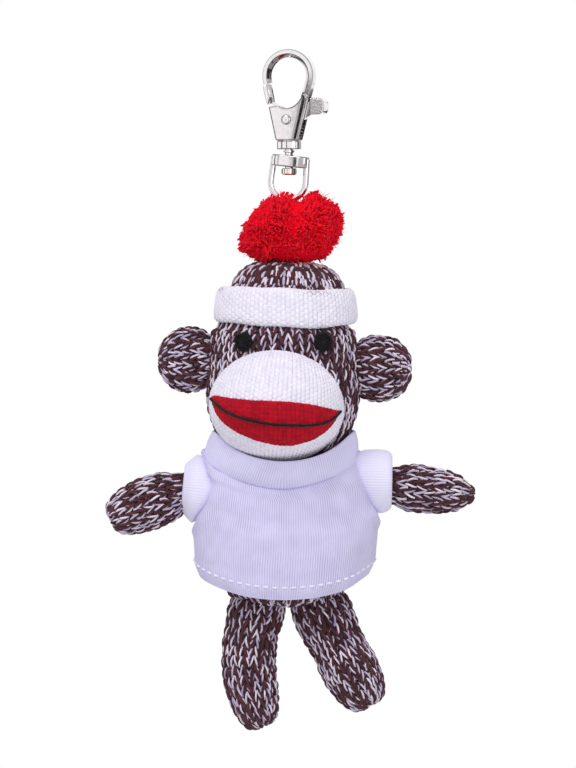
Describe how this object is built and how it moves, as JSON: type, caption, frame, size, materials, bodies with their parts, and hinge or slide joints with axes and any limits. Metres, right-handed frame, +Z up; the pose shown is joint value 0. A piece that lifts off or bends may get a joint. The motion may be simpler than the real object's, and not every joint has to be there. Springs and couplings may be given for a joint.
{
  "type": "sock monkey doll",
  "caption": "Small stuffed sock monkey doll with a pompom hat and a white shirt, hanging from a swivel snap hook by a thread loop.",
  "frame": {"origin": "inner crown of the snap hook's eye, where the doll hangs", "axes": "+Z up, the doll faces -Y, +X to the viewer's right"},
  "size_m": [0.0927, 0.0432, 0.1706],
  "materials": {
    "cast_metal": "polished nickel or chrome plate on a zinc casting",
    "spring_steel": "bare spring wire",
    "marled_knit": "dark reddish brown and white plies twisted together, stocking stitch",
    "white_knit": null,
    "white_jersey": "smooth white cotton jersey, lilac in the shade",
    "white_rib": "white rib band",
    "white_thread": "white sewing thread",
    "red_yarn": "matt red yarn, cut ends",
    "red_knit": "red stocking stitch",
    "black_yarn": "black yarn",
    "black_felt": "matt black felt",
    "fibre_filling": "loose white fibre"
  },
  "bodies": {
    "hook": {"hook_body": "cast_metal", "gate_rivet": "cast_metal", "swivel_pin": "cast_metal", "gate_spring": "spring_steel"},
    "gate": {"gate_lever": "cast_metal"},
    "ring": {"d_ring": "cast_metal"},
    "head": {"hanging_loop": "white_thread", "pompom": "red_yarn", "pompom_tie": "white_thread", "hat_crown": "marled_knit", "hat_band": "white_knit", "head_skin": "marled_knit", "head_stuffing": "fibre_filling", "eye_left": "black_felt", "eye_right": "black_felt", "muzzle": "white_knit", "muzzle_stuffing": "fibre_filling", "lips": "red_knit", "mouth_line": "black_yarn"},
    "ear_left_body": {"ear_left": "marled_knit", "ear_left_stuffing": "fibre_filling"},
    "ear_right_body": {"ear_right": "marled_knit", "ear_right_stuffing": "fibre_filling"},
    "torso": {"torso_skin": "marled_knit", "torso_stuffing": "fibre_filling", "shirt_body": "white_jersey", "shirt_collar": "white_rib", "hem_stitching": "white_thread"},
    "arm_left_body": {"arm_left": "marled_knit", "arm_left_stuffing": "fibre_filling", "sleeve_left": "white_jersey"},
    "arm_right_body": {"arm_right": "marled_knit", "arm_right_stuffing": "fibre_filling", "sleeve_right": "white_jersey"},
    "leg_left_body": {"leg_left": "marled_knit", "leg_left_stuffing": "fibre_filling"},
    "leg_right_body": {"leg_right": "marled_knit", "leg_right_stuffing": "fibre_filling"}
  },
  "joints": [
    {"name": "hook_swivel", "type": "hinge", "parent": "hook", "child": "ring", "pos_m": [0, 0, -0.026], "axis": [0, 0, 1], "continuous": true},
    {"name": "gate_pivot", "type": "hinge", "parent": "hook", "child": "gate", "pos_m": [0, 0, -0.0157], "axis": [0.2924, 0.9563, 0], "range_deg": [0, 25], "stiffness_Nm_per_rad": 0.01, "springref_deg": -20.05, "deforming": ["gate_spring"]},
    {"name": "ring_swing", "type": "hinge", "parent": "ring", "child": "head", "pos_m": [-0.00018, 0.00005, -0.03571], "axis": [0.9563, -0.2924, 0], "range_deg": [-40, 40]},
    {"name": "neck_turn", "type": "hinge", "parent": "head", "child": "torso", "pos_m": [-0.0015, 0, -0.1014], "axis": [0, 0, 1], "range_deg": [-25, 25], "stiffness_Nm_per_rad": 0.02},
    {"name": "arm_left_raise", "type": "hinge", "parent": "torso", "child": "arm_left_body", "pos_m": [-0.01919, 0, -0.10741], "axis": [0, 1, 0], "range_deg": [-5, 60], "stiffness_Nm_per_rad": 0.03, "deforming": ["sleeve_left"]},
    {"name": "arm_right_raise", "type": "hinge", "parent": "torso", "child": "arm_right_body", "pos_m": [0.01824, 0, -0.10591], "axis": [0, -1, 0], "range_deg": [-18, 48], "stiffness_Nm_per_rad": 0.03, "deforming": ["sleeve_right"]},
    {"name": "leg_left_swing", "type": "hinge", "parent": "torso", "child": "leg_left_body", "pos_m": [-0.0084, 0, -0.14061], "axis": [-1, 0, 0], "range_deg": [-30, 70], "stiffness_Nm_per_rad": 0.02},
    {"name": "leg_right_swing", "type": "hinge", "parent": "torso", "child": "leg_right_body", "pos_m": [0.0082, 0, -0.14061], "axis": [-1, 0, 0], "range_deg": [-30, 70], "stiffness_Nm_per_rad": 0.02},
    {"name": "ear_left_fold", "type": "hinge", "parent": "head", "child": "ear_left_body", "pos_m": [-0.02131, 0, -0.07721], "axis": [0, 0, 1], "range_deg": [-20, 20], "stiffness_Nm_per_rad": 0.008},
    {"name": "ear_right_fold", "type": "hinge", "parent": "head", "child": "ear_right_body", "pos_m": [0.01831, 0, -0.07721], "axis": [0, 0, 1], "range_deg": [-20, 20], "stiffness_Nm_per_rad": 0.008}
  ]
}
